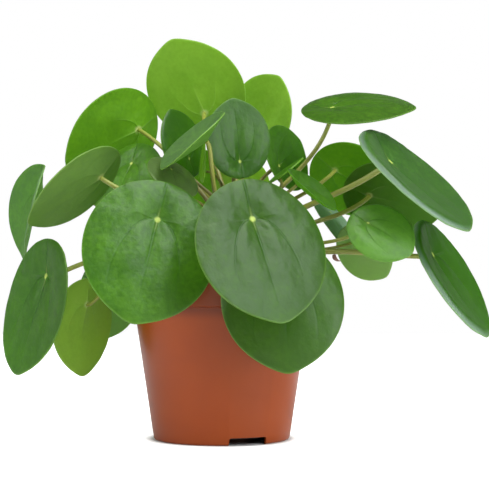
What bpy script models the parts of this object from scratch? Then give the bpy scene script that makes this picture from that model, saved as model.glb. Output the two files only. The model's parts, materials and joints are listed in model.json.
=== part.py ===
"""Potted Chinese money plant: a nursery pot, the soil in it, one woody stem with its leaf stalks, and a
shield-like blade on each stalk. Metres, +Z up. The origin is the middle of the pot's foot, on the
surface it stands on, and -Y is the front."""
from math import cos, exp, hypot, pi, radians, sin, sqrt

import bmesh
import bpy
from mathutils import Matrix, Vector

MM = 0.001
GAP = 0.3 * MM            # clearance between pieces that touch on the real plant

# Pot: a 12 cm nursery pot, thin moulded plastic.
POT_HEIGHT = 100 * MM
FOOT_RADIUS = 42.5 * MM
WALL_TOP_RADIUS = 55.1 * MM
BAND_BOTTOM = 82 * MM     # height where the rim band steps out
BAND_BOTTOM_RADIUS = 58.6 * MM
RIM_RADIUS = 60 * MM
WALL = 1.3 * MM
LIP = 1.8 * MM
FLAT_FOOT_RADIUS = 28 * MM
CHANNEL_HEIGHT = 3.4 * MM  # the drain channel is raised this far under the pot
CHANNEL_OUTER_RADIUS = 39.5 * MM
FLOOR = 1.5 * MM
POT_STEPS = 40

# Drain slots through the foot of the wall, the first one to the right of the front.
SLOT_WIDTH = 24 * MM
SLOT_HEIGHT = 4.8 * MM
SLOT_DEPTH = 13 * MM
SLOT_COUNT = 3
FIRST_SLOT_ANGLE = radians(-90 + 22)

# Soil: fills the pot to just under the rim.
SOIL_TOP = 88 * MM
SOIL_CROWN = 2.5 * MM     # how much higher the soil stands round the trunk
HOLE_DEPTH = 20 * MM
HOLE_STEPS = 24

# Trunk: up from the soil with a slight lean to the right.
TRUNK_RADIUS = 5.2 * MM
TRUNK_TOP_RADIUS = 3.4 * MM
TRUNK_POINTS = ((0, 0, 0), (0, 0, 24), (1.5, 0, 36), (4, -1, 50), (6.5, -1, 64), (7.5, 0, 77))
LOWEST_NODE = 24 * MM     # heights of the stalks' nodes above the trunk's foot
HIGHEST_NODE = 75 * MM

# Blades: almost round, held off centre on the stalk.
BLADE_THICKNESS = 0.9 * MM
BLADE_WIDTH_RATIO = 0.92
HUB_FROM_BASE = 0.28      # usual place of the hub along the blade, as a share of its length
PAD_RADIUS = 0.035        # flat pad over the stalk's end, as a share of the length
DIMPLE_RISE = 0.03
DIMPLE_REACH = 0.09
TIP_POINT = 0.05          # how far the small point stands out
TIP_SPREAD = radians(10)
RIPPLE = 0.012
RIPPLE_TURN = 2.4         # radians from one leaf's ripple to the next leaf's
MIDRIB_SOFTNESS = 0.05    # half width of the rounded bottom of a fold
BLADE_SIDES = 20
SMALL_BLADE_SIDES = 16
SMALL_BLADE = 40 * MM
BLADE_RINGS = (0.36, 0.7, 1.0)

# Stalks: each swells a little where it joins the trunk.
STALK_STEPS = 6
STALK_SWELL = 1.25
SWELL_STEPS = 3
TRUNK_RESOLUTION = 4
STALK_RESOLUTION = 2
STALK_STUB = 2.5 * MM     # short straight end of each stalk, square to its blade
SQUARE_ON = 0.6           # how squarely a stalk arrives at its blade, against straight from the trunk
ARCH_START = 0.45         # handles of a stalk's arch, as shares of its span
ARCH_END = 0.3

# Dried scale, shed from a bud, hanging under the stalk of the far right leaf.
SCALE_LENGTH = 7 * MM
SCALE_WIDTH = 4.5 * MM
SCALE_THICKNESS = 0.7 * MM
SCALE_CURL = radians(100)
SCALE_TURN = radians(35)
SCALE_PLACE = 3           # step along the stalk

COLLECTION = "potted_money_plant"


# ---------------------------------------------------------------- scene and materials

for old in list(bpy.data.objects):
    bpy.data.objects.remove(old, do_unlink=True)

plant = bpy.data.collections.new(COLLECTION)
cutters = bpy.data.collections.new("cutters")
for collection in (plant, cutters):
    bpy.context.scene.collection.children.link(collection)


def plain_material(name, rgb, roughness):
    """A Principled material with one colour, as linear values."""
    material = bpy.data.materials.new(name)
    material.use_nodes = True
    shader = material.node_tree.nodes["Principled BSDF"]
    shader.inputs["Base Color"].default_value = (*rgb, 1)
    shader.inputs["Roughness"].default_value = roughness
    shader.inputs["Metallic"].default_value = 0
    return material


TERRACOTTA = plain_material("terracotta_plastic", (0.36, 0.09, 0.035), 0.45)
SOIL = plain_material("potting_soil", (0.035, 0.022, 0.014), 0.95)
STALK = plain_material("stalk_skin", (0.22, 0.20, 0.06), 0.5)
DRY_SCALE = plain_material("dry_scale", (0.12, 0.03, 0.02), 0.8)
MATURE_BLADE = plain_material("mature_blade", (0.06, 0.17, 0.03), 0.38)
YOUNG_BLADE = plain_material("young_blade", (0.15, 0.32, 0.03), 0.4)


def add_object(name, data, material, collection=plant, parent=None):
    """Link a named object that carries the data, with its material."""
    piece = bpy.data.objects.new(name, data)
    collection.objects.link(piece)
    if material:
        data.materials.append(material)
    piece.parent = parent
    return piece


root = add_object("plant_root", None, None)


# ---------------------------------------------------------------- turned shapes

def turned(name, profile, material, steps, collection=plant):
    """Turn a profile, drawn at +X and running down its outer side, about the Z axis."""
    mesh = bpy.data.meshes.new(name)
    points = [(radius, 0, height) for radius, height in profile]
    mesh.from_pydata(points, [(i, i + 1) for i in range(len(points) - 1)], [])
    piece = add_object(name, mesh, material, collection, root)
    screw = piece.modifiers.new("turn", "SCREW")
    screw.angle = 2 * pi
    screw.steps = screw.render_steps = steps
    screw.use_merge_vertices = True
    screw.merge_threshold = 0.0001
    screw.use_smooth_shade = True
    return piece


def cut(piece, cutter):
    """Take a cutter away from a piece, and keep the cutter out of sight."""
    cutter.hide_render = True
    cutter.display_type = "WIRE"
    boolean = piece.modifiers.new("cut_" + cutter.name, "BOOLEAN")
    boolean.operation = "DIFFERENCE"
    boolean.object = cutter


def wall_inner_radius(height):
    """Inside radius of the pot's wall below the rim band."""
    share = height / BAND_BOTTOM
    return FOOT_RADIUS + (WALL_TOP_RADIUS - FOOT_RADIUS) * share - WALL


CHANNEL_TOP = CHANNEL_HEIGHT + FLOOR
BAND_INNER_RADIUS = BAND_BOTTOM_RADIUS - WALL
BAND_SEAT = BAND_BOTTOM + WALL   # inside ledge where the wall meets the rim band

pot = turned("pot", (
    (0, FLOOR),
    (FLAT_FOOT_RADIUS - FLOOR, FLOOR),
    (FLAT_FOOT_RADIUS + FLOOR, CHANNEL_TOP),
    (wall_inner_radius(CHANNEL_TOP), CHANNEL_TOP),
    (wall_inner_radius(BAND_SEAT), BAND_SEAT),
    (BAND_INNER_RADIUS, BAND_SEAT + 1 * MM),
    (RIM_RADIUS - LIP, POT_HEIGHT - 0.6 * MM),
    (RIM_RADIUS - LIP + 0.6 * MM, POT_HEIGHT),
    (RIM_RADIUS - 0.6 * MM, POT_HEIGHT),
    (RIM_RADIUS, POT_HEIGHT - 0.6 * MM),
    (BAND_BOTTOM_RADIUS, BAND_BOTTOM + 0.8 * MM),
    (BAND_BOTTOM_RADIUS - 0.8 * MM, BAND_BOTTOM),
    (WALL_TOP_RADIUS, BAND_BOTTOM),
    (FOOT_RADIUS + 0.3 * MM, 1.5 * MM),
    (FOOT_RADIUS - 0.7 * MM, 0),
    (CHANNEL_OUTER_RADIUS + 0.6 * MM, 0),
    (CHANNEL_OUTER_RADIUS, CHANNEL_HEIGHT),
    (FLAT_FOOT_RADIUS + 3 * MM, CHANNEL_HEIGHT),
    (FLAT_FOOT_RADIUS, 0),
    (0, 0),
), TERRACOTTA, POT_STEPS)

for number in range(SLOT_COUNT):
    angle = FIRST_SLOT_ANGLE + number * 2 * pi / SLOT_COUNT
    bpy.ops.mesh.primitive_cube_add(size=1)
    slot = bpy.context.object
    slot.name = f"slot_cutter_{number + 1}"
    slot.scale = (SLOT_DEPTH, SLOT_WIDTH, 2 * SLOT_HEIGHT)
    slot.rotation_euler.z = angle
    slot.location = (FOOT_RADIUS * cos(angle), FOOT_RADIUS * sin(angle), 0)
    for home in list(slot.users_collection):
        home.objects.unlink(slot)
    cutters.objects.link(slot)
    cut(pot, slot)

SOIL_RADIUS_TOP = BAND_INNER_RADIUS - GAP
soil = turned("soil", (
    (0, SOIL_TOP + SOIL_CROWN),
    (TRUNK_RADIUS * 2, SOIL_TOP + SOIL_CROWN * 0.8),
    (SOIL_RADIUS_TOP * 0.55, SOIL_TOP + SOIL_CROWN * 0.3),
    (SOIL_RADIUS_TOP * 0.85, SOIL_TOP),
    (SOIL_RADIUS_TOP, SOIL_TOP - 1 * MM),
    (SOIL_RADIUS_TOP, BAND_SEAT + 1.6 * MM),
    (wall_inner_radius(BAND_SEAT) - GAP, BAND_SEAT),
    (wall_inner_radius(CHANNEL_TOP) - GAP, CHANNEL_TOP + GAP),
    (FLAT_FOOT_RADIUS + FLOOR - GAP, CHANNEL_TOP + GAP),
    (FLAT_FOOT_RADIUS - FLOOR - GAP, FLOOR + GAP),
    (0, FLOOR + GAP),
), SOIL, POT_STEPS)

TRUNK_FOOT = SOIL_TOP + SOIL_CROWN - HOLE_DEPTH
hole = turned("trunk_hole", (
    (0, SOIL_TOP + 3 * SOIL_CROWN),
    (TRUNK_RADIUS + GAP, SOIL_TOP + 3 * SOIL_CROWN),
    (TRUNK_RADIUS + GAP, TRUNK_FOOT - GAP),
    (0, TRUNK_FOOT - GAP),
), None, HOLE_STEPS, cutters)
cut(soil, hole)


# ---------------------------------------------------------------- blades

def rim_radius(length, base, around):
    """Distance from the hub to the rim, at an angle from the direction of the tip."""
    half_length = length / 2
    half_width = half_length * BLADE_WIDTH_RATIO
    offset = half_length - base * length
    a = (cos(around) / half_length) ** 2 + (sin(around) / half_width) ** 2
    b = -2 * cos(around) * offset / half_length ** 2
    c = (offset / half_length) ** 2 - 1
    oval = (-b + sqrt(b * b - 4 * a * c)) / (2 * a)
    from_tip = min(around, 2 * pi - around)
    return oval * (1 + TIP_POINT * exp(-(from_tip / TIP_SPREAD) ** 2))


def blade_height(x, y, length, cup, fold, phase):
    """Height of the blade's upper face over the hub: a dimple, then a cupped or drooping, folded disc."""
    out = hypot(x, y)
    beyond_pad = max(0.0, out - PAD_RADIUS * length)
    dimple = DIMPLE_RISE * length * (1 - exp(-(beyond_pad / (DIMPLE_REACH * length)) ** 2))
    soft = MIDRIB_SOFTNESS * length
    valley = fold * (sqrt(y * y + soft * soft) - soft) * min(1.0, beyond_pad / soft)
    around = 0 if out == 0 else pi + (1 if y > 0 else -1) * Vector((x, y)).angle(Vector((-1, 0)))
    wave = RIPPLE * length * sin(3 * around + phase) * (beyond_pad / (0.6 * length)) ** 2
    return dimple + valley + 2 * cup * beyond_pad ** 2 / length + wave


def blade_mesh(name, length, base, cup, fold, phase, sides):
    """Open disc of rings round the hub, all triangles, with its upper face up."""
    mesh_builder = bmesh.new()
    pad = PAD_RADIUS * length
    ring = bmesh.ops.create_circle(mesh_builder, cap_ends=True, cap_tris=True, segments=sides, radius=pad)
    angles = [2 * pi * i / sides for i in range(sides)]
    boundary = [vert for vert in ring["verts"] if vert.is_boundary]
    boundary.sort(key=lambda vert: Vector((1, 0)).angle_signed(vert.co.xy) * -1 % (2 * pi))
    for vert, around in zip(boundary, angles):
        vert.co = (pad * cos(around), pad * sin(around), 0)
    for share in BLADE_RINGS:
        edges = [edge for edge in mesh_builder.edges if edge.is_boundary]
        grown = bmesh.ops.extrude_edge_only(mesh_builder, edges=edges)
        outer = [item for item in grown["geom"] if isinstance(item, bmesh.types.BMVert)]
        for vert in outer:
            around = Vector((1, 0)).angle_signed(vert.co.xy) * -1 % (2 * pi)
            radius = pad + (rim_radius(length, base, around) - pad) * share
            x, y = radius * cos(around), radius * sin(around)
            vert.co = (x, y, blade_height(x, y, length, cup, fold, phase))
    bmesh.ops.triangulate(mesh_builder, faces=mesh_builder.faces[:])
    bmesh.ops.recalc_face_normals(mesh_builder, faces=mesh_builder.faces[:])
    if sum(face.normal.z for face in mesh_builder.faces) < 0:
        bmesh.ops.reverse_faces(mesh_builder, faces=mesh_builder.faces[:])
    mesh = bpy.data.meshes.new(name)
    mesh_builder.to_mesh(mesh)
    mesh_builder.free()
    mesh.shade_smooth()
    return mesh


def blade_pose(hub, facing, tilt, turn):
    """Place a blade: its hub, the compass angle its upper face looks to, its tilt and its tip's turn."""
    heading = Matrix.Rotation(radians(facing - 90), 4, "Z")
    lean = Matrix.Rotation(radians(tilt), 4, "Y")
    spin = Matrix.Rotation(radians(turn), 4, "Z")
    return Matrix.Translation(Vector(hub) * MM) @ heading @ lean @ spin


stalk_ends = []


def leaf(name, hub, length, facing, tilt, turn=0, cup=0.0, fold=0.0, base=HUB_FROM_BASE, stalk=3.0,
         lift=25, drop=0.0, young=False):
    """One blade on its stalk. The hub is in mm, the angles in degrees: facing 0 looks to the front
    and 90 to the right, and tilt is 0 for a level blade and 90 for an upright one."""
    sides = BLADE_SIDES if length * MM > SMALL_BLADE else SMALL_BLADE_SIDES
    material = YOUNG_BLADE if young else MATURE_BLADE
    phase = len(stalk_ends) * RIPPLE_TURN
    mesh = blade_mesh(name, length * MM, base, cup, fold, phase, sides)
    blade = add_object(name, mesh, material, parent=root)
    pose = blade_pose(hub, facing, tilt, turn)
    blade.matrix_world = pose
    thickness = blade.modifiers.new("thickness", "SOLIDIFY")
    thickness.thickness = BLADE_THICKNESS
    thickness.offset = -1
    stalk_ends.append((name, pose, stalk * MM / 2, radians(lift), drop))


# From the oldest leaf, which leaves the trunk lowest, to the youngest at its top.
leaf("leaf_low_left_inner", (-86, 2, 84), 60, -125, 78, cup=-0.15, fold=0.12, stalk=2.4, lift=85, drop=1.5,
     young=True)
leaf("leaf_back_low", (-10, 100, 108), 62, 178, 82, cup=-0.08, stalk=3.0, lift=45, drop=0.4)
leaf("leaf_low_right", (34, -66, 103), 78, 4, 71, turn=3, cup=-0.14, stalk=3.0, lift=45, drop=0.4)
leaf("leaf_low_left", (-108, -20, 101), 82, -53, 82, turn=-4, cup=0.07, stalk=3.0, lift=40, drop=0.6)
leaf("leaf_left_behind", (-74, 44, 103), 55, -138, 86, turn=4, cup=-0.05, stalk=2.4, lift=50, drop=0.6)
leaf("leaf_far_right", (132, -12, 115), 80, 59, 67, turn=5, cup=0.13, stalk=3.4, lift=20, drop=0.3)
leaf("leaf_back_right", (40, 84, 130), 62, 160, 78, cup=-0.06, stalk=3.0, lift=40)
leaf("leaf_back_left", (-56, 76, 142), 72, -142, 74, cup=-0.06, stalk=3.0, lift=35)
leaf("leaf_right_under", (86, 10, 125), 41, 150, 68, turn=-36, cup=-0.05, stalk=1.8, lift=10, young=True)
leaf("leaf_right_front", (87, -46, 132), 42, -4, 59, turn=54, cup=-0.16, stalk=2.2, lift=10)
leaf("leaf_front_right", (17, -86, 131), 83, 18, 72, turn=10, cup=0.02, stalk=3.2, lift=35)
leaf("leaf_front_left", (-37, -68, 132), 84, 14, 74, turn=-16, cup=-0.04, stalk=3.2, lift=30)
leaf("leaf_far_left", (-117, 14, 157), 62, -66, 84, turn=-17, cup=0.01, fold=0.42, stalk=2.6, lift=10)
leaf("leaf_right_grey", (74, 50, 147), 62, 66, 49, turn=-3, cup=-0.13, stalk=2.6, lift=10)
leaf("leaf_right_back", (97, 22, 156), 64, 157, 50, turn=-67, stalk=3.0, lift=5)
leaf("leaf_right_big", (103, -30, 171), 86, 53, 52, turn=6, cup=0.13, stalk=3.6, lift=8)
leaf("leaf_left_long", (-74, -32, 161), 67, -112, 51, turn=26, cup=0.12, stalk=2.8, lift=15)
leaf("leaf_left_inner", (-58, 4, 174), 55, -29, 60, turn=-2, cup=-0.06, stalk=2.6, lift=10)
leaf("leaf_folded", (-10, -48, 181), 49, -66, 49, turn=-11, cup=0.2, fold=0.16, base=0.4, stalk=2.8,
     lift=-30, drop=-5.0)
leaf("leaf_right_bright", (78, 56, 177), 61, 157, 55, turn=-46, stalk=2.6, lift=5)
leaf("leaf_back_top", (-22, 84, 178), 68, 178, 62, cup=-0.04, stalk=2.8, lift=20)
leaf("leaf_upper_right", (70, -5, 209), 70, -20, 28, turn=95, cup=-0.10, stalk=2.8, lift=-5)
leaf("leaf_upper_left", (-57, 42, 202), 75, -128, 70, turn=55, cup=0.11, stalk=2.8, lift=5)
leaf("leaf_front_cupped", (45, -48, 155), 37, 60, 52, turn=9, cup=0.18, fold=0.2, stalk=2.0, lift=10)
leaf("leaf_mid_shaded", (-31, -30, 166), 38, 44, 43, turn=-22, cup=-0.07, stalk=2.0, lift=10)
leaf("leaf_mid_right", (37, 12, 174), 49, 54, 73, turn=122, cup=0.05, stalk=2.4, lift=5)
leaf("leaf_top", (-12, 50, 215), 74, 169, 52, turn=163, cup=0.04, stalk=2.8, lift=5, young=True)
leaf("leaf_top_right", (22, 60, 204), 58, 139, 85, turn=218, cup=-0.07, stalk=2.4, lift=5, young=True)
leaf("leaf_mid_left", (-21, 2, 177), 44, 53, 90, turn=202, cup=-0.2, stalk=2.2, lift=5)
leaf("leaf_centre", (11, -22, 172), 48, 25, 95, turn=190, cup=-0.06, fold=0.1, base=0.22, stalk=2.4, lift=5)
leaf("leaf_behind_centre", (16, 78, 176), 42, 172, 76, turn=10, stalk=2.0, lift=5, young=True)
leaf("leaf_small_level", (35, -24, 162), 27, -75, 36, turn=180, cup=0.04, stalk=1.8, lift=5)
leaf("leaf_bud", (-11, -12, 167), 26, -82, 86, turn=178, cup=0.02, fold=0.15, stalk=1.6, lift=0, young=True)

# ---------------------------------------------------------------- stem

TRUNK_PLACE = Vector((0, 0, TRUNK_FOOT))


def tube(name, points, radii, resolution):
    """A capped tube along points, with its own radius at each, as a mesh."""
    curve = bpy.data.curves.new(name, "CURVE")
    curve.dimensions = "3D"
    curve.bevel_depth = 1
    curve.bevel_resolution = resolution
    curve.use_fill_caps = True
    spline = curve.splines.new("POLY")
    spline.points.add(len(points) - 1)
    for point, place, radius in zip(spline.points, points, radii):
        point.co = (*place, 1)
        point.radius = radius
    guide = add_object(name + "_curve", curve, None)
    bpy.context.view_layer.update()
    evaluated = guide.evaluated_get(bpy.context.evaluated_depsgraph_get())
    mesh = bpy.data.meshes.new_from_object(evaluated)
    mesh.name = name
    builder = bmesh.new()
    builder.from_mesh(mesh)
    bmesh.ops.remove_doubles(builder, verts=builder.verts, dist=0.00001)
    builder.to_mesh(mesh)
    builder.free()
    bpy.data.objects.remove(guide, do_unlink=True)
    return mesh


def bezier(start, first, second, end, share):
    """Point on a cubic Bezier curve."""
    rest = 1 - share
    return (start * rest ** 3 + first * 3 * rest ** 2 * share
            + second * 3 * rest * share ** 2 + end * share ** 3)


def trunk_axis(height):
    """Point on the trunk's middle line, a height above its foot."""
    for low, high in zip(TRUNK_POINTS, TRUNK_POINTS[1:]):
        if height <= high[2] * MM:
            share = (height / MM - low[2]) / (high[2] - low[2])
            return TRUNK_PLACE + (Vector(low) + (Vector(high) - Vector(low)) * share) * MM
    return TRUNK_PLACE + Vector(TRUNK_POINTS[-1]) * MM


def stalk_path(pose, root_height, lift, drop):
    """Line of one stalk: up and out of the trunk, over in an arch, and square on to its blade."""
    upper_face = (pose.to_3x3() @ Vector((0, 0, 1))).normalized()
    end = pose.translation - upper_face * (BLADE_THICKNESS + GAP)
    neck = end - upper_face * STALK_STUB
    start = trunk_axis(root_height)
    chord = neck - start
    across = Vector((chord.x, chord.y, 0))
    climb = min(radians(85), chord.angle(across) * (1 if chord.z > 0 else -1) + lift)
    leave = across.normalized() * cos(climb) + Vector((0, 0, sin(climb)))
    arrive = upper_face * SQUARE_ON + chord.normalized() * (1 - SQUARE_ON) - Vector((0, 0, drop))
    arrive.normalize()
    first = start + leave * chord.length * ARCH_START
    second = neck - arrive * chord.length * ARCH_END
    shares = [i / STALK_STEPS for i in range(STALK_STEPS + 1)]
    return [bezier(start, first, second, neck, share) for share in shares] + [end]


trunk_line = [TRUNK_PLACE + Vector(point) * MM for point in TRUNK_POINTS]
taper = [TRUNK_RADIUS, TRUNK_RADIUS] + [
    TRUNK_RADIUS + (TRUNK_TOP_RADIUS - TRUNK_RADIUS) * (i + 1) / (len(trunk_line) - 2)
    for i in range(len(trunk_line) - 2)]
stem = add_object("stem", tube("stem", trunk_line, taper, TRUNK_RESOLUTION), STALK, parent=root)

stalks = bpy.data.collections.new("stalks")
bpy.context.scene.collection.children.link(stalks)
stalk_lines = {}
for number, (name, pose, radius, lift, drop) in enumerate(stalk_ends):
    root_height = LOWEST_NODE + (HIGHEST_NODE - LOWEST_NODE) * number / (len(stalk_ends) - 1)
    path = stalk_path(pose, root_height, lift, drop)
    swells = [max(0, 1 - i / SWELL_STEPS) * (STALK_SWELL - 1) + 1 for i in range(len(path))]
    mesh = tube("stalk", path, [radius * swell for swell in swells], STALK_RESOLUTION)
    add_object("stalk_of_" + name, mesh, STALK, stalks)
    stalk_lines[name] = (path, radius)

join = stem.modifiers.new("join_stalks", "BOOLEAN")
join.operation = "UNION"
join.operand_type = "COLLECTION"
join.collection = stalks
bpy.context.view_layer.update()
evaluated_stem = stem.evaluated_get(bpy.context.evaluated_depsgraph_get())
joined = bpy.data.meshes.new_from_object(evaluated_stem)
joined.name = "stem_joined"
stem.modifiers.clear()
stem.data = joined
for stalk_object in list(stalks.objects):
    bpy.data.objects.remove(stalk_object, do_unlink=True)
bpy.data.collections.remove(stalks)
joined.shade_smooth()


# ---------------------------------------------------------------- dried scale

scale_line, stalk_radius = stalk_lines["leaf_far_right"]
scale_builder = bmesh.new()
bmesh.ops.create_grid(scale_builder, x_segments=6, y_segments=2, size=0.5)
curl_radius = SCALE_LENGTH / SCALE_CURL
for vert in scale_builder.verts:
    bend = (vert.co.x + 0.5) * SCALE_CURL
    half_width = vert.co.y * SCALE_WIDTH * (1 - 0.5 * abs(vert.co.x))
    vert.co = (curl_radius * (1 - cos(bend)), half_width, -curl_radius * sin(bend))
scale_mesh = bpy.data.meshes.new("dry_scale")
scale_builder.to_mesh(scale_mesh)
scale_builder.free()
dry_scale = add_object("dry_scale", scale_mesh, DRY_SCALE, parent=root)
dry_scale.rotation_euler.z = SCALE_TURN
dry_scale.location = scale_line[SCALE_PLACE] - Vector((0, 0, stalk_radius + 1.5 * GAP))
skin = dry_scale.modifiers.new("thickness", "SOLIDIFY")
skin.thickness = SCALE_THICKNESS
skin.offset = 0
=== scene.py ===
"""Potted Chinese money plant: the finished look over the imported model."""

import json
import random
from math import atan2, cos, exp, hypot, pi, radians, sin

import bmesh
import bpy
from mathutils import Matrix, Vector, kdtree, noise


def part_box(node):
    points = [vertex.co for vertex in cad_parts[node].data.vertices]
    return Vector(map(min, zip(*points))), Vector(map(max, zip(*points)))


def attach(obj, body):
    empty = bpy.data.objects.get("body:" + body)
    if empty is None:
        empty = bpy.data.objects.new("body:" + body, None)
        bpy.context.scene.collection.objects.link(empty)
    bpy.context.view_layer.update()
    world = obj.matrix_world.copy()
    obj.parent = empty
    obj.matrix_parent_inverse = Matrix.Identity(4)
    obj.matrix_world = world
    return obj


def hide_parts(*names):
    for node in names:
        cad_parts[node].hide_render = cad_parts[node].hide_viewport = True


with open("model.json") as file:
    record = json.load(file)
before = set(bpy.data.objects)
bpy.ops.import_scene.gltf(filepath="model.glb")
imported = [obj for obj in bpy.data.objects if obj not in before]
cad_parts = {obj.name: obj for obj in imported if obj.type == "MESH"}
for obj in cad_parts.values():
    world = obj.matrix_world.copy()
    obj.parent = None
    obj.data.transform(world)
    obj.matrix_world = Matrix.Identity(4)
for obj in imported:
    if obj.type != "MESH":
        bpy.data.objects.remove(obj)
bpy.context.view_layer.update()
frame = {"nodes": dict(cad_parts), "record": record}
MM = 0.001

# ------------------------------------------------------------------ pot
# A 12 cm nursery pot, moulded in one piece from terracotta-coloured polypropylene. The wall tapers to
# a rolled foot, the deep rim band stands out from it over a small step, and three drain slots are cut
# through the foot. The mould leaves a satin skin that turns pale where it is seen edge on.


def linear(code):
    """An sRGB hex colour as linear RGBA."""
    parts = [int(code[i:i + 2], 16) / 255 for i in (1, 3, 5)]
    return tuple(c / 12.92 if c < 0.04045 else ((c + 0.055) / 1.055) ** 2.4 for c in parts) + (1.0,)


def add(tree, kind, feeds, **settings):
    """Add one shader node, set it up, feed its inputs, and return its outputs."""
    node = tree.nodes.new("ShaderNode" + kind)
    for key, value in settings.items():
        setattr(node, key, value)
    for key, value in feeds.items():
        if isinstance(value, bpy.types.NodeSocket):
            tree.links.new(value, node.inputs[key])
        else:
            node.inputs[key].default_value = value
    return node.outputs


def calc(tree, operation, *values):
    """The result of a math node for one or two values."""
    return add(tree, "Math", dict(enumerate(values)), operation=operation)[0]


def spread(tree, value, start, end, low=0.0, high=1.0, smooth=False):
    """A value's way from start to end, turned into one from low to high and held at both ends."""
    return add(tree, "MapRange", {"Value": value, "From Min": start, "From Max": end, "To Min": low,
                                  "To Max": high},
               interpolation_type="SMOOTHSTEP" if smooth else "LINEAR")[0]


def mix(tree, factor, first, second):
    """Two colours mixed by a factor. Each is an output or an sRGB hex colour."""
    first, second = [linear(c) if isinstance(c, str) else c for c in (first, second)]
    return add(tree, "Mix", {"Factor": factor, "A": first, "B": second}, data_type="RGBA")[2]


def speckle(tree, place, size, detail, roughness=0.5):
    """Noise from 0 to 1, whose spots are about one size apart."""
    return add(tree, "TexNoise", {"Vector": place, "Scale": 1 / size, "Detail": detail,
                                  "Roughness": roughness})[0]


def bump(tree, height, strength, distance, **under):
    """A normal tilted by a height, laid over another bump's normal if one is given."""
    return add(tree, "Bump", {"Height": height, "Strength": strength, "Distance": distance, **under})[0]


def axis_distance(tree, place):
    """How far a place is from the pot's upright axis."""
    level = add(tree, "VectorMath", {0: place, 1: (1, 1, 0)}, operation="MULTIPLY")[0]
    return add(tree, "VectorMath", {0: level}, operation="LENGTH")["Value"]


def start_material(name):
    """A new material with an empty node tree and its output node."""
    material = bpy.data.materials.new(name)
    material.use_nodes = True
    material.node_tree.nodes.clear()
    return material, material.node_tree, material.node_tree.nodes.new("ShaderNodeOutputMaterial")


def mesh_from(source, name):
    """A mesh made from a bmesh, which is freed."""
    mesh = bpy.data.meshes.new(name)
    source.to_mesh(mesh)
    source.free()
    return mesh


def place_object(name, data):
    """An object for a mesh, light or camera, in the scene and at the origin."""
    placed = bpy.data.objects.new(name, data)
    bpy.context.scene.collection.objects.link(placed)
    return placed


def make_piece(name, mesh, materials, node):
    """An object for a finished mesh, which stands for a CAD node and rides on the plant."""
    piece = place_object(name, mesh)
    for material in materials:
        mesh.materials.append(material)
    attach(piece, "root")
    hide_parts(node)
    return piece


def applied(piece):
    """The mesh of an object with its modifiers applied, and the object removed."""
    evaluated = piece.evaluated_get(bpy.context.evaluated_depsgraph_get())
    mesh = bpy.data.meshes.new_from_object(evaluated)
    bpy.data.objects.remove(piece, do_unlink=True)
    return mesh


foot_radius = 42.5 * MM
wall_top_radius = 55.1 * MM
band_bottom = 82 * MM
band_radius = 58.6 * MM       # at the band's lower edge
pot_wall = 1.3 * MM
foot_round = 2.2 * MM         # height of the round at the foot
foot_tuck = 0.7               # how far that round reaches in, as a share of its height
foot_steps = 5
turning_steps = 144


def wall_radius(height):
    """Outer radius of the tapered wall at a height."""
    return foot_radius + (wall_top_radius - foot_radius) * height / band_bottom


def inner_radius(height_mm):
    """Inner radius of the tapered wall, in millimetres like the profile."""
    return (wall_radius(height_mm * MM) - pot_wall) / MM


raised_floor = 4.9            # top of the floor over the drain channel, in millimetres
step_foot = wall_top_radius / MM
step_top = band_radius / MM

# The pot's section, as radius and height in millimetres, from the middle of the floor's top round to
# the middle of its underside.
pot_profile = [
    # floor, which rises over the drain channel, and the inside of the wall
    (0, 1.5), (26.5, 1.5), (29.5, raised_floor), (inner_radius(raised_floor), raised_floor),
    (inner_radius(80), 80.0), (inner_radius(82) + 0.4, 82.6),
    # inside of the band and the rounded lip
    (step_top - 1.9, 83.6), (step_top - 1.3, 84.4),
    (58.2, 99.0), (58.35, 99.6), (58.8, 99.95), (59.2, 99.95), (59.75, 99.6), (60.0, 98.9),
    # outside of the band, its lower edge and the step down to the wall
    (59.95, 97.4), (step_top + 0.05, 83.4), (step_top - 0.15, 82.5), (step_top - 0.7, 82.1),
    (step_foot + 0.9, 82.0), (step_foot + 0.25, 81.6), (wall_radius(80.6 * MM) / MM, 80.6),
]
for step in range(1, foot_steps + 1):
    turn = radians(90) * step / foot_steps
    pot_profile.append((
        (wall_radius(foot_round) - foot_round * (1 - cos(turn)) * foot_tuck) / MM,
        (foot_round - foot_round * sin(turn)) / MM))
# ring that the pot stands on, drain channel, and the middle of the underside
pot_profile += [(40.4, 0), (39.8, 0.5), (39.5, 3.4), (31.0, 3.4), (28.4, 0.4), (28.0, 0), (0, 0)]

turning = bmesh.new()
ring = [turning.verts.new((r * MM, 0, z * MM)) for r, z in pot_profile]
edges = [turning.edges.new(pair) for pair in zip(ring, ring[1:])]
bmesh.ops.spin(turning, geom=ring + edges, cent=(0, 0, 0), axis=(0, 0, 1), angle=2 * pi,
               steps=turning_steps, use_merge=True)
bmesh.ops.remove_doubles(turning, verts=turning.verts, dist=1e-6)
bmesh.ops.recalc_face_normals(turning, faces=turning.faces)
pot_blank = place_object("pot_blank", mesh_from(turning, "pot_turned"))

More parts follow.
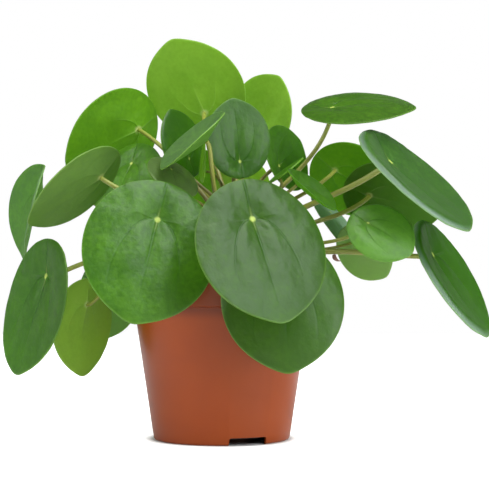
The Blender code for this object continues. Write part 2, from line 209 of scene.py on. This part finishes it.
slot_count = 3
first_slot, slot_turn = -68, 120      # degrees round the axis
slot_size = (13 * MM, 24 * MM, 9.2 * MM)      # through the wall, along it, and twice the height
slot_corner = 1.2 * MM
cutters = []
for number in range(slot_count):
    angle = radians(first_slot + slot_turn * number)
    cutting = bmesh.new()
    bmesh.ops.create_cube(cutting, size=1)
    bmesh.ops.scale(cutting, vec=slot_size, verts=cutting.verts)
    top_edges = [e for e in cutting.edges
                 if abs(e.verts[0].co.x - e.verts[1].co.x) > 1 * MM and e.verts[0].co.z > 0]
    bmesh.ops.bevel(cutting, geom=top_edges, offset=slot_corner, segments=4, profile=0.5,
                    affect="EDGES", material=-1)
    bmesh.ops.rotate(cutting, cent=(0, 0, 0), matrix=Matrix.Rotation(angle, 3, "Z"),
                     verts=cutting.verts)
    bmesh.ops.translate(cutting, vec=(foot_radius * cos(angle), foot_radius * sin(angle), 0),
                        verts=cutting.verts)
    cutter = place_object("slot_cutter", mesh_from(cutting, "slot_cutter"))
    slot_cut = pot_blank.modifiers.new("slot", "BOOLEAN")
    slot_cut.operation = "DIFFERENCE"
    slot_cut.object = cutter
    cutters.append(cutter)
bpy.context.view_layer.update()
pot_mesh = applied(pot_blank)
for cutter in cutters:
    bpy.data.objects.remove(cutter, do_unlink=True)
pot_mesh.shade_smooth()
pot_mesh.set_sharp_from_angle(angle=radians(32))

# Moulded polypropylene: an even terracotta pigment with a faint cloud in it, a satin skin, and the
# finest orange-peel texture from the mould, drawn at 0.9 mm so that it shows. Painted shade darkens
# the pot from 9 mm under the rim band upwards, most in the corner under the band and a little less on
# the band, in place of the shade of the leaves over them. The drain channel under the foot is painted
# nearly black, painted shade, so that the slots read as openings.
polypropylene, tree, out = start_material("moulded_polypropylene_terracotta")
place = add(tree, "TexCoord", {})["Object"]
cloud = speckle(tree, place, 28 * MM, 3.0)
pigment = mix(tree, cloud, "#863608", "#964009")
height = add(tree, "SeparateXYZ", {0: place})[2]
# painted shade: darker from 9 mm under the rim band upwards, in place of the leaves' shade on it
painted_rim_shade = spread(tree, height, band_bottom - 9 * MM, band_bottom, high=0.6, smooth=True)
painted_shade_eased_on_band = spread(tree, height, band_bottom + 0.1 * MM, band_bottom + 0.6 * MM, high=0.2)
pigment = mix(tree, calc(tree, "SUBTRACT", painted_rim_shade, painted_shade_eased_on_band), pigment, "#4a1a06")
# painted shade: the drain channel under the foot nearly black, so that the slots read as openings
inside_foot = spread(tree, axis_distance(tree, place), 40.8 * MM, 40.2 * MM)
painted_channel_shade = spread(tree, height, 4.8 * MM, 4.7 * MM, high=0.93)
pigment = mix(tree, calc(tree, "MULTIPLY", inside_foot, painted_channel_shade), pigment, "#100e0b")
peel = speckle(tree, place, 0.9 * MM, 2.0)
satin = spread(tree, cloud, 0.0, 1.0, 0.34, 0.42)
skin = add(tree, "BsdfPrincipled", {
    "Base Color": pigment, "Roughness": satin, "Normal": bump(tree, peel, 0.12, 0.05 * MM),
    "IOR": 1.49, "Specular IOR Level": 0.3})
tree.links.new(skin[0], out.inputs["Surface"])
make_piece("pot_shell", pot_mesh, [polypropylene], "pot")

# ------------------------------------------------------------------ soil
# Moist peat and bark potting mix with a few grains of perlite, filled to a finger's width under the
# rim and heaped a little round the trunk.


def merged_copy(node):
    """A CAD node's mesh as a bmesh, with its loose triangles joined at their corners."""
    copy = bmesh.new()
    copy.from_mesh(frame["nodes"][node].data)
    bmesh.ops.remove_doubles(copy, verts=copy.verts, dist=2e-6)
    return copy


def colour_ramp(tree, factor, *stops):
    """A colour that runs through stops, each of them a position and an sRGB hex colour."""
    shade = add(tree, "ValToRGB", {"Fac": factor})[0]
    ramp = shade.node.color_ramp
    for element, (position, tone) in zip(ramp.elements, (stops[0], stops[-1])):
        element.color, element.position = linear(tone), position
    for position, tone in stops[1:-1]:
        ramp.elements.new(position).color = linear(tone)
    return shade


draw = random.Random(7)
soil_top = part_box("soil")[1].z
trunk_gap, soil_edge = 6.5 * MM, 55 * MM      # lumps only between the trunk's hole and the wall
lump_size, lump_height = 9 * MM, 1.3 * MM
longest_edge = 2.4 * MM
soil = merged_copy("soil")
for _ in range(3):
    tops = [f for f in soil.faces
            if f.normal.z > 0.5 and f.calc_center_median().z > soil_top - 6 * MM]
    long_edges = {e for f in tops for e in f.edges if e.calc_length() > longest_edge}
    bmesh.ops.subdivide_edges(soil, edges=list(long_edges), cuts=1, use_grid_fill=True)
bmesh.ops.triangulate(soil, faces=soil.faces)
for vert in soil.verts:
    if vert.co.z > soil_top - 5 * MM and trunk_gap < hypot(vert.co.x, vert.co.y) < soil_edge:
        lump = noise.fractal(vert.co / lump_size, 1.0, 2.2, 3)
        vert.co.z += lump * lump_height

strewn_from, strewn_over = 6.8 * MM, 48 * MM      # where the crumbs begin, and how much farther they go
heap_fall, heap_sink = 2.2 * MM, 0.4 * MM         # how far the heap falls outwards, and the crumbs sink


def scatter(target, count, smallest, largest, lift):
    """Strew crumbs, each an uneven stone of 20 faces, over the soil's top."""
    for _ in range(count):
        reach = strewn_from + strewn_over * draw.random() ** 0.5
        around = draw.random() * 2 * pi
        size = smallest + (largest - smallest) * draw.random() ** 2
        heap = soil_top - heap_fall * min(1, (reach / strewn_over)) - heap_sink
        stone = bmesh.ops.create_icosphere(target, subdivisions=1, radius=size)["verts"]
        stretch = Vector((draw.uniform(0.7, 1.4), draw.uniform(0.7, 1.3), draw.uniform(0.5, 0.8)))
        bmesh.ops.scale(target, vec=stretch, verts=stone)
        for vert in stone:
            vert.co *= 1 + draw.uniform(-0.18, 0.18)
        bmesh.ops.rotate(target, cent=(0, 0, 0), matrix=Matrix.Rotation(draw.random() * 6, 3, "Z"),
                         verts=stone)
        spot = Vector((cos(around) * reach, sin(around) * reach, heap + lift * size))
        bmesh.ops.translate(target, vec=spot, verts=stone)


scatter(soil, 900, 0.5 * MM, 1.9 * MM, 0.2)
peat_faces = len(soil.faces)
scatter(soil, 90, 0.7 * MM, 1.6 * MM, 0.5)
soil.faces.ensure_lookup_table()
for face in soil.faces[peat_faces:]:
    face.material_index = 1
bmesh.ops.recalc_face_normals(soil, faces=soil.faces)
soil_mesh = mesh_from(soil, "soil_mesh")

# Peat: nearly black when moist, with paler fibres and bark flecks about 2 mm apart, fully matte.
peat, tree, out = start_material("moist_peat_and_bark")
place = add(tree, "TexCoord", {})["Object"]
fleck = speckle(tree, place, 2 * MM, 5.0)
peat_tone = colour_ramp(tree, fleck, (0.38, "#1c130d"), (0.72, "#5b4330"))
skin = add(tree, "BsdfPrincipled", {
    "Base Color": peat_tone, "Roughness": 0.95, "Normal": bump(tree, fleck, 0.7, 0.5 * MM),
    "Specular IOR Level": 0.25})
tree.links.new(skin[0], out.inputs["Surface"])

# Perlite: puffed volcanic glass, chalky off-white with fine pores.
perlite, tree, out = start_material("puffed_perlite")
place = add(tree, "TexCoord", {})["Object"]
pores = speckle(tree, place, 0.5 * MM, 3.0)
chalk = mix(tree, pores, "#a79f90", "#e9e4da")
skin = add(tree, "BsdfPrincipled", {"Base Color": chalk, "Roughness": 0.9})
tree.links.new(skin[0], out.inputs["Surface"])
make_piece("potting_mix", soil_mesh, [peat, perlite], "soil")

# ------------------------------------------------------------------ stem and stalks
# One short woody trunk and the leaf stalks that grow out of it. The stalks are smooth and round, green
# at the blade and browner towards the trunk, whose bark carries the scars of shed leaves.


def rounded(mesh, levels):
    """A mesh after smooth subdivision."""
    blank = place_object("blank", mesh)
    rounding = blank.modifiers.new("rounding", "SUBSURF")
    rounding.levels = rounding.render_levels = levels
    bpy.context.view_layer.update()
    return applied(blank)


tube_swell = 0.14 * MM        # what the rounding of an eight-sided tube takes off
stem = merged_copy("stem")
bmesh.ops.join_triangles(stem, faces=stem.faces, angle_face_threshold=radians(38),
                         angle_shape_threshold=radians(60))
crease = stem.edges.layers.float.new("crease_edge")
for edge in stem.edges:
    if len(edge.link_faces) == 2 and edge.calc_face_angle(0) > radians(58):
        edge[crease] = 1.0
stem.normal_update()
for vert, push in [(v, v.normal.copy()) for v in stem.verts]:
    vert.co += push * tube_swell
stem_mesh = rounded(mesh_from(stem, "stem_mesh"), 2)
stem_mesh.shade_smooth()

# Stalk skin: a thin waxy green skin over watery tissue, so light glows in it a little. The bark is
# cork, grey-brown, with rings of scars 3 mm apart.
crown = (0.004, 0, 0.128)     # where the stalks leave the trunk
scar_gap = 3 * MM
wave_turn = 6.28              # a wave texture's bands repeat once in this many units
stalk_skin, tree, out = start_material("waxy_stalk_skin")
place = add(tree, "TexCoord", {})["Object"]
from_crown = add(tree, "VectorMath", {0: place, 1: crown}, operation="DISTANCE")["Value"]
stalk_tone = colour_ramp(tree, spread(tree, from_crown, 0.01, 0.13),
                         (0.05, "#6a6024"), (0.4, "#848a36"), (0.85, "#98a444"))
streak = speckle(tree, place, 3 * MM, 4.0)
streaked = mix(tree, spread(tree, streak, 0.0, 1.0, high=0.35), stalk_tone, "#6a5a20")
height = add(tree, "SeparateXYZ", {0: place})[2]
low = spread(tree, height, 0.135, 0.105, smooth=True)
near = spread(tree, axis_distance(tree, place), 0.011, 0.006)
is_bark = calc(tree, "MULTIPLY", low, near)
scars = add(tree, "TexWave", {"Vector": place, "Scale": 1 / scar_gap / wave_turn, "Distortion": 3.0,
                              "Detail": 2.0}, bands_direction="Z")[1]
bark = mix(tree, scars, "#4a3725", "#7b6347")
bark_bump = bump(tree, calc(tree, "MULTIPLY", scars, is_bark), 0.6, 0.4 * MM)
skin = add(tree, "BsdfPrincipled", {
    "Base Color": mix(tree, is_bark, streaked, bark),
    "Roughness": spread(tree, is_bark, 0.0, 1.0, 0.42, 0.85),
    "Normal": bump(tree, streak, 0.15, 0.1 * MM, Normal=bark_bump),
    "Subsurface Weight": 0.15, "Subsurface Radius": (1.0, 1.0, 0.4), "Subsurface Scale": 0.8 * MM})
tree.links.new(skin[0], out.inputs["Surface"])
make_piece("stem_and_stalks", stem_mesh, [stalk_skin], "stem")

# ------------------------------------------------------------------ blades
# Each blade is one fleshy, almost round leaf under a millimetre thick, held on its stalk away from its
# edge. A midrib and two arching side veins run from the stalk's end towards the tip. The face swells
# between them, their lines are sunk in the glossy upper side and raised on the paler underside, and a
# pale rim runs round the edge.

stem_points = kdtree.KDTree(len(frame["nodes"]["stem"].data.vertices))
for index, vert in enumerate(frame["nodes"]["stem"].data.vertices):
    stem_points.insert(vert.co, index)
stem_points.balance()

# Shares of a blade's length, unless a comment says otherwise.
vein_spread, vein_curve, vein_end, vein_close = 0.36, 0.4, 0.85, 3      # the arc of a side vein
ring_reaches = (0.0, 0.05, 0.38, 0.71, 1.0)       # reach of each ring of a blade drawn with four rings
rim_crease = 0.85                                 # sharpness of the rim, from 0 to 1
outline_swell = 0.016                             # what the rounding of a 20-sided outline takes off
fine_above, fine_level, plain_level = 46 * MM, 3, 2      # metres, and levels of rounding
hub_radius = 0.08                                 # inside it the relief fades out towards the stalk
swell_height, swell_width, swell_end = 0.0095, 0.34, 0.62
quilt_height, quilt_along, quilt_across = 0.0060, 7, 11      # the last two are waves per length
roll_start, roll_width = 0.8, 0.2                 # the outer part of the blade that the rim's roll takes
roll_fade = 2.5                                   # how fast the roll fades towards the other side
point_length, point_angle, point_power = 0.016, radians(7), 6      # the drawn-out tip


def side_vein(along):
    """How far a side vein is from the midrib, at a distance towards the tip."""
    ahead = max(0.0, along)
    return vein_spread * ahead ** vein_curve * (1 - (ahead / vein_end) ** vein_close)


def steps_from(start):
    """Each vertex's number of edges from a vertex."""
    found, front = {start: 0}, [start]
    while front:
        ahead = []
        for vert in front:
            for edge in vert.link_edges:
                other = edge.other_vert(vert)
                if other not in found:
                    found[other] = found[vert] + 1
                    ahead.append(other)
        front = ahead
    return found


def flat_pads(blade):
    """The two flat patches over and under the stalk's end, as lists of faces in a fixed order."""
    seen, patches = set(), []
    for start in blade.faces:
        if start in seen:
            continue
        seen.add(start)
        patch = [start]
        for face in patch:
            for other in [f for edge in face.edges for f in edge.link_faces]:
                if other not in seen and other.normal.angle(face.normal) < radians(0.5):
                    seen.add(other)
                    patch.append(other)
        patches.append(patch)
    return sorted(patches, key=len)[-2:]


def finish_blade(node, seed, age, bloom_and_painted_sheen, depth_and_painted_shade, roll, arch, bow):
    """A CAD blade made smooth, with its relief pressed in and its leaf coordinates stored for the skin.
    As shares of the length, the rim rolls down, the sides arch back and the tip bows up. A roll above 0
    is for the side of the blade that lies to the left of its tip, and one below 0 for the other side."""
    blade = merged_copy(node)
    reach = blade.verts.layers.float.new("reach")
    side = blade.verts.layers.float.new("side")
    crease = blade.edges.layers.float.new("crease_edge")
    hubs = []
    for patch in flat_pads(blade):
        pad = bmesh.ops.dissolve_faces(blade, faces=patch)["region"]
        hubs += bmesh.ops.poke(blade, faces=pad)["verts"]
    under_hub, upper_hub = sorted(hubs, key=lambda v: stem_points.find(v.co)[2])
    up = (upper_hub.co - under_hub.co).normalized()
    hub = upper_hub.co.copy()

    # rings round the hub, and the directions towards the tip and across
    near_upper, near_under = steps_from(upper_hub), steps_from(under_hub)
    rim_steps = max(min(near_upper[v], near_under[v]) for v in blade.verts)
    rim = [v for v in blade.verts if near_upper[v] == rim_steps]
    tip = max(rim, key=lambda v: (v.co - hub).length).co - hub
    along = (tip - up * tip.dot(up)).normalized()
    across = up.cross(along)
    length = (max((v.co - hub).dot(along) for v in rim)
              - min((v.co - hub).dot(along) for v in rim))
    four_rings = rim_steps == len(ring_reaches) - 1
    for vert in blade.verts:
        steps = min(near_upper[vert], near_under[vert])
        vert[reach] = ring_reaches[min(steps, rim_steps)] if four_rings else steps / rim_steps
        vert[side] = 1.0 if near_upper[vert] < near_under[vert] else 0.0

    # smooth subdivision, with a crisp rim
    bmesh.ops.join_triangles(blade, faces=blade.faces, angle_face_threshold=radians(70),
                             angle_shape_threshold=radians(70))
    for edge in blade.edges:
        if all(min(near_upper[v], near_under[v]) == rim_steps for v in edge.verts):
            if len({near_upper[v] for v in edge.verts}) == 1:
                edge[crease] = rim_crease
    for vert in blade.verts:
        off = vert.co - hub
        vert.co += (off - up * off.dot(up)) * outline_swell
    mesh = rounded(mesh_from(blade, node + "_mesh"), fine_level if length > fine_above else plain_level)

    # relief and stored values, vertex by vertex
    nature = mesh.attributes.new("blade_nature", "FLOAT_VECTOR", "POINT").data
    nature.foreach_set("vector", [age, bloom_and_painted_sheen, depth_and_painted_shade] * len(mesh.vertices))
    mesh.attributes.new("blade_roll", "FLOAT", "POINT")
    place = mesh.attributes.new("blade_place", "FLOAT_VECTOR", "POINT").data
    rolled = mesh.attributes["blade_roll"].data
    upper = mesh.attributes["side"].data
    reaches = mesh.attributes["reach"].data
    shift = Vector((seed * 17.3, seed * 5.1, 0))
    for index, vert in enumerate(mesh.vertices):
        off = vert.co - hub
        a, b = off.dot(along) / length, off.dot(across) / length
        place[index].vector = (a, b, reaches[index].value)
        away = hypot(a, b)
        fade = min(1.0, away / hub_radius)
        vein = side_vein(a)
        if abs(b) < vein:
            swell = sin(pi * abs(b) / vein)
        else:
            swell = sin(pi * min(1.0, (abs(b) - vein) / swell_width))
        fullness = swell * max(0.0, 1 - (a / swell_end) ** 2)
        fullness *= max(0.0, 1 - reaches[index].value ** 4)
        quilt = noise.fractal(Vector((a * quilt_along, b * quilt_across, 0)) + shift, 1.0, 2.0, 2)
        turned = max(0.0, (reaches[index].value - roll_start) / roll_width) ** 2
        one_sided = min(1.0, max(0.0, 0.5 + (roll_fade if roll > 0 else -roll_fade) * b))
        rolled[index].value = abs(roll) * turned * one_sided * length
        rise = swell_height * fullness + quilt_height * quilt * (1 - away)
        rise -= abs(roll) * turned * one_sided
        rise += bow * a * a - arch * b * b
        point = point_length * exp(-(atan2(b, a) / point_angle) ** 2)
        point *= reaches[index].value ** point_power
        vert.co += (up * rise * fade + along * point) * length
    for polygon in mesh.polygons:
        mean_side = sum(upper[i].value for i in polygon.vertices) / len(polygon.vertices)
        polygon.material_index = 0 if mean_side > 0.5 else 1
    mesh.shade_smooth()
    return mesh


# Tones of a blade's skin, by whether it is the upper side and whether the blade is young: deep green,
# fresh green, the olive of age, veins, hub, rim, and the light that comes through.
blade_tones = {
    (True, False): ("#375e0f", "#5a8a1a", "#4f5a1e", "#1f4416", "#c2d468", "#7d9f48", "#86c80c"),
    (True, True): ("#4a781c", "#6c9e28", "#5e6a26", "#3c641a", "#dde38c", "#9dbb60", "#a4d81c"),
    (False, False): ("#5a8616", "#7aaa1c", "#6c7828", "#8cac54", "#d6d98a", "#96b458", "#9ad40c"),
    (False, True): ("#7aa632", "#98c040", "#808a38", "#abc460", "#d9de94", "#b0c870", "#bce824")}


def blade_skin(name, upper, young):
    """The skin of one side of a blade. The veins, rim and hub are drawn in leaf coordinates."""
    material, tree, out = start_material(name)
    along, across, reach = add(tree, "SeparateXYZ", {
        0: add(tree, "Attribute", {}, attribute_name="blade_place")["Vector"]})
    age, bloom_and_painted_sheen, depth_and_painted_shade = add(tree, "SeparateXYZ", {
        0: add(tree, "Attribute", {}, attribute_name="blade_nature")["Vector"]})
    rolled = add(tree, "Attribute", {}, attribute_name="blade_roll")["Fac"]
    place = add(tree, "TexCoord", {})["Object"]
    deep, fresh, old, vein_tone, hub_tone, rim_tone, glow = blade_tones[upper, young]

    # gaps to the midrib and to the nearer side vein, which follows side_vein
    off_rib = calc(tree, "ABSOLUTE", across)
    ahead = calc(tree, "MAXIMUM", along, 0.0)
    opening = calc(tree, "POWER", ahead, vein_curve)
    closing = calc(tree, "POWER", calc(tree, "DIVIDE", ahead, vein_end), vein_close)
    closing = calc(tree, "SUBTRACT", 1.0, closing)
    arc = calc(tree, "MULTIPLY", calc(tree, "MULTIPLY", opening, closing), vein_spread)
    off_side = calc(tree, "ABSOLUTE", calc(tree, "SUBTRACT", off_rib, arc))

    # vein lines, which fade towards the tip
    vein_reach = 0.66 if upper else 0.3
    rib_line = spread(tree, off_rib, 0.014, 0.001, smooth=True)
    rib = calc(tree, "MULTIPLY", rib_line, spread(tree, along, vein_reach, 0.1))
    side_line = spread(tree, off_side, 0.012, 0.001, smooth=True)
    side = calc(tree, "MULTIPLY", side_line, spread(tree, along, vein_reach * 0.8, 0.05))
    side = calc(tree, "MULTIPLY", side, spread(tree, along, 0.0, 0.02))
    veins = calc(tree, "MAXIMUM", rib, side)

    # flesh: clouded green, made deeper by its own tone and by painted shade (or lighter by painted
    # light), then older, then greyed by wax and by a painted sheen where the wax value is set and where
    # it curls
    cloud = speckle(tree, place, 16 * MM, 4.0, roughness=0.6)
    mottle = speckle(tree, place, 2.4 * MM, 3.0)
    clouded = spread(tree, calc(tree, "ADD", cloud, mottle), 0.7, 1.3)
    # painted shade: the third value of blade_nature darkens the green towards near-black, partly the
    # leaf's own deeper tone and partly painted shade; below 0 it lightens, painted light
    green = mix(tree, calc(tree, "SUBTRACT", clouded, depth_and_painted_shade), deep, fresh)
    deepened_and_shaded = mix(tree, depth_and_painted_shade, green, "#183607")
    aged = mix(tree, age, deepened_and_shaded, old)
    # painted sheen: a grey-blue wax tone on the rolled rim and where the second value of blade_nature is
    # set, in place of glare; only part of it is a real waxy coat
    curl = spread(tree, rolled, 0.4 * MM, 2.2 * MM, high=0.6)
    flesh = mix(tree, calc(tree, "MAXIMUM", bloom_and_painted_sheen, curl), aged, "#a4b8ae")

    # markings: veins, a short pale ray along the midrib, the hub's spot, and the rim
    hub_gap_squared = calc(tree, "ADD", calc(tree, "MULTIPLY", along, along),
                           calc(tree, "MULTIPLY", across, across))
    veined = mix(tree, calc(tree, "MULTIPLY", veins, 0.4 if upper else 0.22), flesh, vein_tone)
    ray = spread(tree, hub_gap_squared, 0.009, 0.0005, high=0.2)
    rayed = mix(tree, calc(tree, "MULTIPLY", ray, rib_line), veined, hub_tone)
    hub_spot = spread(tree, hub_gap_squared, 0.0007 if upper else 0.0024, 0.0, smooth=True)
    hubbed = mix(tree, hub_spot, rayed, hub_tone)
    rimmed = mix(tree, spread(tree, reach, 0.985, 1.0, high=0.35), hubbed, rim_tone)

    # relief: the rolled rim (its height is in metres), the veins, soft puckers, and fine cells
    relief = bump(tree, rolled, 1.0, -1.2 if upper else 1.2)
    relief = bump(tree, calc(tree, "MULTIPLY", veins, -0.6 if upper else 0.8), 0.8, 0.4 * MM,
                  Normal=relief)
    pucker = speckle(tree, place, 6 * MM, 2.0)
    relief = bump(tree, pucker, 0.3 if upper else 0.2, 0.9 * MM, Normal=relief)
    relief = bump(tree, mottle, 0.5, 0.3 * MM, Normal=relief)

    # a waxy or matte surface, over flesh that lets light through
    sheen = spread(tree, mottle, 0.0, 1.0, *((0.32, 0.46) if upper else (0.5, 0.62)))
    skin = add(tree, "BsdfPrincipled", {"Base Color": rimmed, "Roughness": sheen, "Normal": relief,
                                        "IOR": 1.42, "Specular IOR Level": 0.5})
    through = add(tree, "BsdfTranslucent", {"Color": mix(tree, age, glow, old), "Normal": relief})
    both = add(tree, "MixShader", {"Fac": 0.36 if upper else 0.48, 1: skin[0], 2: through[0]})
    tree.links.new(both[0], out.inputs["Surface"])
    return material


# Mature skin: deep green, waxy above and matte below. Young skin: thinner, lighter and more yellow.
mature_skins = [blade_skin("waxy_upper_skin_mature", True, False),
                blade_skin("matte_under_skin_mature", False, False)]
young_skins = [blade_skin("waxy_upper_skin_young", True, True),
               blade_skin("matte_under_skin_young", False, True)]
slots = {item["node"]: item["material_slot"] for item in frame["record"]["subparts"]}
# A blade's age, from 0 for fresh green to 1 for olive; the grey of its wax, partly a waxy coat and
# partly painted sheen; how much deeper its green is, partly its own tone and partly painted shade, or
# lighter below 0 with painted light; how far its rim rolls down; how far its sides arch back; and how
# far it bows up. The first line is for every blade, and the others say where one differs.
usual = dict(age=0.0, bloom_and_painted_sheen=0.0, depth_and_painted_shade=0.05, roll=0.003, arch=0.0, bow=0.0)
natures = {
    "leaf_bud": dict(depth_and_painted_shade=-1.0),
    "leaf_centre": dict(depth_and_painted_shade=0.4, bow=0.06),
    "leaf_far_left": dict(bloom_and_painted_sheen=0.04, depth_and_painted_shade=0.2, roll=0.02),
    "leaf_far_right": dict(depth_and_painted_shade=0.6, roll=-0.03),
    "leaf_folded": dict(age=0.1, bloom_and_painted_sheen=0.1, depth_and_painted_shade=0.15),
    "leaf_front_cupped": dict(depth_and_painted_shade=0.3),
    "leaf_front_left": dict(depth_and_painted_shade=0.2, arch=0.06, bow=-0.06),
    "leaf_front_right": dict(age=0.1, depth_and_painted_shade=0.5, arch=0.15),
    "leaf_left_behind": dict(bloom_and_painted_sheen=0.42, depth_and_painted_shade=-0.5),
    "leaf_left_inner": dict(depth_and_painted_shade=0.1, arch=0.2),
    "leaf_left_long": dict(age=0.35, bloom_and_painted_sheen=0.14, depth_and_painted_shade=0.0),
    "leaf_low_left": dict(depth_and_painted_shade=0.35),
    "leaf_low_left_inner": dict(age=0.15, bloom_and_painted_sheen=0.06, depth_and_painted_shade=-0.4),
    "leaf_low_right": dict(age=0.1, depth_and_painted_shade=0.45, arch=0.16),
    "leaf_mid_left": dict(depth_and_painted_shade=0.45, bow=0.1),
    "leaf_mid_right": dict(depth_and_painted_shade=0.3),
    "leaf_mid_shaded": dict(age=0.5, bloom_and_painted_sheen=0.06, depth_and_painted_shade=0.1),
    "leaf_right_back": dict(age=0.1, depth_and_painted_shade=0.6),
    "leaf_right_big": dict(bloom_and_painted_sheen=0.04, depth_and_painted_shade=0.45, roll=-0.03),
    "leaf_right_bright": dict(depth_and_painted_shade=0.1),
    "leaf_right_front": dict(bloom_and_painted_sheen=0.06, depth_and_painted_shade=-0.3, roll=0.006),
    "leaf_right_grey": dict(bloom_and_painted_sheen=0.7, depth_and_painted_shade=0.0, roll=0.006),
    "leaf_right_under": dict(bloom_and_painted_sheen=0.42, depth_and_painted_shade=-0.5),
    "leaf_upper_right": dict(age=0.12, depth_and_painted_shade=0.3, roll=0.004)}
for seed, node in enumerate(sorted(n for n in frame["nodes"] if n.startswith("leaf_"))):
    skins = young_skins if slots[node] == "young_blade" else mature_skins
    mesh = finish_blade(node, seed, **{**usual, **natures.get(node, {})})
    make_piece(node.replace("leaf_", "blade_"), mesh, skins, node)

# ------------------------------------------------------------------ dried scale
# A papery scale that sheathed a bud, dried to a curl and caught under a stalk.

wrinkle_size, wrinkle_height = 2 * MM, 0.25 * MM
noise.seed_set(7)             # without a seed the noise vector follows the clock
scale = merged_copy("dry_scale")
bmesh.ops.join_triangles(scale, faces=scale.faces, angle_face_threshold=radians(40),
                         angle_shape_threshold=radians(60))
scale_mesh = rounded(mesh_from(scale, "scale_mesh"), 3)
for vert in scale_mesh.vertices:
    vert.co += noise.noise_vector(vert.co / wrinkle_size) * wrinkle_height
scale_mesh.shade_smooth()

# Dry scale: thin brown paper-like tissue, darker in its wrinkles, matte.
papery, tree, out = start_material("dried_papery_scale")
place = add(tree, "TexCoord", {})["Object"]
wrinkle = speckle(tree, place, 1.2 * MM, 4.0)
skin = add(tree, "BsdfPrincipled", {
    "Base Color": mix(tree, wrinkle, "#6e4438", "#b08c7c"), "Roughness": 0.8,
    "Normal": bump(tree, wrinkle, 0.6, 0.3 * MM)})
tree.links.new(skin[0], out.inputs["Surface"])
make_piece("dried_scale", scale_mesh, [papery], "dry_scale")

# ------------------------------------------------------------------ studio
# A white light table under the plant, soft boxes at the right, low at the right, at the left and
# overhead, white surroundings that light the plant from behind, and the camera a little below the
# pot's rim.

floor_half = 3                # metres from the middle to an edge
sweep = bmesh.new()
bmesh.ops.create_grid(sweep, x_segments=1, y_segments=1, size=floor_half)
floor_mesh = mesh_from(sweep, "floor_mesh")
floor = place_object("floor", floor_mesh)
# Light table: opal acrylic that glows most towards the camera, so that the ground is white. It does not
# glow under the pot and fades in over a ring round the foot, a painted contact shadow that grounds the
# foot.
table, tree, out = start_material("opal_acrylic_light_table")
spot = add(tree, "TexCoord", {})["Object"]
out_from_foot = add(tree, "VectorMath", {0: spot}, operation="LENGTH")["Value"]
# painted contact shadow: no glow under the pot, fading in from 43 to 49 mm out from the middle
glow_beyond_painted_foot_shadow = spread(tree, out_from_foot, 43 * MM, 49 * MM)
seen = add(tree, "LightPath", {})["Is Camera Ray"]
glow = calc(tree, "MULTIPLY", glow_beyond_painted_foot_shadow, spread(tree, seen, 0.0, 1.0, 0.22, 0.8))
skin = add(tree, "BsdfPrincipled", {
    "Base Color": linear("#dadada"), "Roughness": 0.6, "Specular IOR Level": 0.2,
    "Emission Color": (1, 1, 1, 1), "Emission Strength": glow})
tree.links.new(skin[0], out.inputs["Surface"])
floor_mesh.materials.append(table)

plant_middle = Vector((0, 0, 0.12))


def turned_to(place, aim):
    """The rotation that points a lamp or a camera from a place at another."""
    return (Vector(aim) - Vector(place)).to_track_quat("-Z", "Y").to_euler()


def soft_box(name, place, width, height, watts, tint):
    """A rectangular area light aimed at the middle of the plant."""
    light = bpy.data.lights.new(name, "AREA")
    light.shape = "RECTANGLE"
    light.size, light.size_y, light.energy, light.color = width, height, watts, tint
    lamp = place_object(name, light)
    lamp.location = place
    lamp.rotation_euler = turned_to(place, plant_middle)


soft_box("right_soft_box", (0.95, -1.3, 1.2), 0.9, 0.9, 21, (0.9, 0.96, 1.0))
soft_box("low_right_soft_box", (1.35, -0.95, 0.3), 0.6, 0.5, 10, (0.95, 0.98, 1.0))
soft_box("left_soft_box", (-1.5, -0.6, 1.15), 0.9, 1.1, 24, (1.0, 1.0, 1.0))
soft_box("overhead_soft_box", (0.35, -0.65, 1.5), 1.1, 0.9, 26, (1.0, 1.0, 1.0))

# Studio walls: plain white to the camera. For all other rays, a bright backdrop behind the plant up to
# a certain height, dimmer in reflections so that glossy faces keep their colour; bright flanks low at
# both sides, in reflections only, which give the pot its pale edges; and a faint light all round.
world = bpy.data.worlds.new("studio_white")
bpy.context.scene.world = world
world.use_nodes = True
tree = world.node_tree
tree.nodes.clear()
direction = add(tree, "TexCoord", {})["Generated"]
sideways, backward, upward = add(tree, "SeparateXYZ", {0: direction})
rays = add(tree, "LightPath", {})
is_camera, is_glossy = rays["Is Camera Ray"], rays["Is Glossy Ray"]
backdrop = calc(tree, "MULTIPLY", spread(tree, backward, 0.5, 0.85, high=3.0),
                spread(tree, upward, 0.65, 0.4))
backlight = calc(tree, "MULTIPLY", backdrop, spread(tree, is_glossy, 0.0, 1.0, 1.0, 0.12))
flanks = spread(tree, calc(tree, "ABSOLUTE", sideways), 0.6, 0.9, high=0.8)
low_flanks = calc(tree, "MULTIPLY", flanks, spread(tree, upward, 0.3, 0.12))
mirrored_flanks = calc(tree, "MULTIPLY", low_flanks, is_glossy)
surround = calc(tree, "ADD", mirrored_flanks, 0.12)
lit = calc(tree, "ADD", backlight, surround)
strength = add(tree, "Mix", {"Factor": is_camera, "A": lit, "B": 1.0}, data_type="FLOAT")[0]
sky = add(tree, "Background", {"Color": (1, 1, 1, 1), "Strength": strength})
tree.links.new(sky[0], tree.nodes.new("ShaderNodeOutputWorld").inputs["Surface"])
bpy.context.scene.view_settings.view_transform = "Standard"

camera_place = Vector((0, -0.70, 0.08))
camera_aim = Vector((0.0143, 0, 0.1184))
camera = place_object("camera", bpy.data.cameras.new("camera"))
camera.data.lens = 79.5
camera.data.sensor_width = 36
camera.location = camera_place
camera.rotation_euler = turned_to(camera_place, camera_aim)
bpy.context.scene.camera = camera
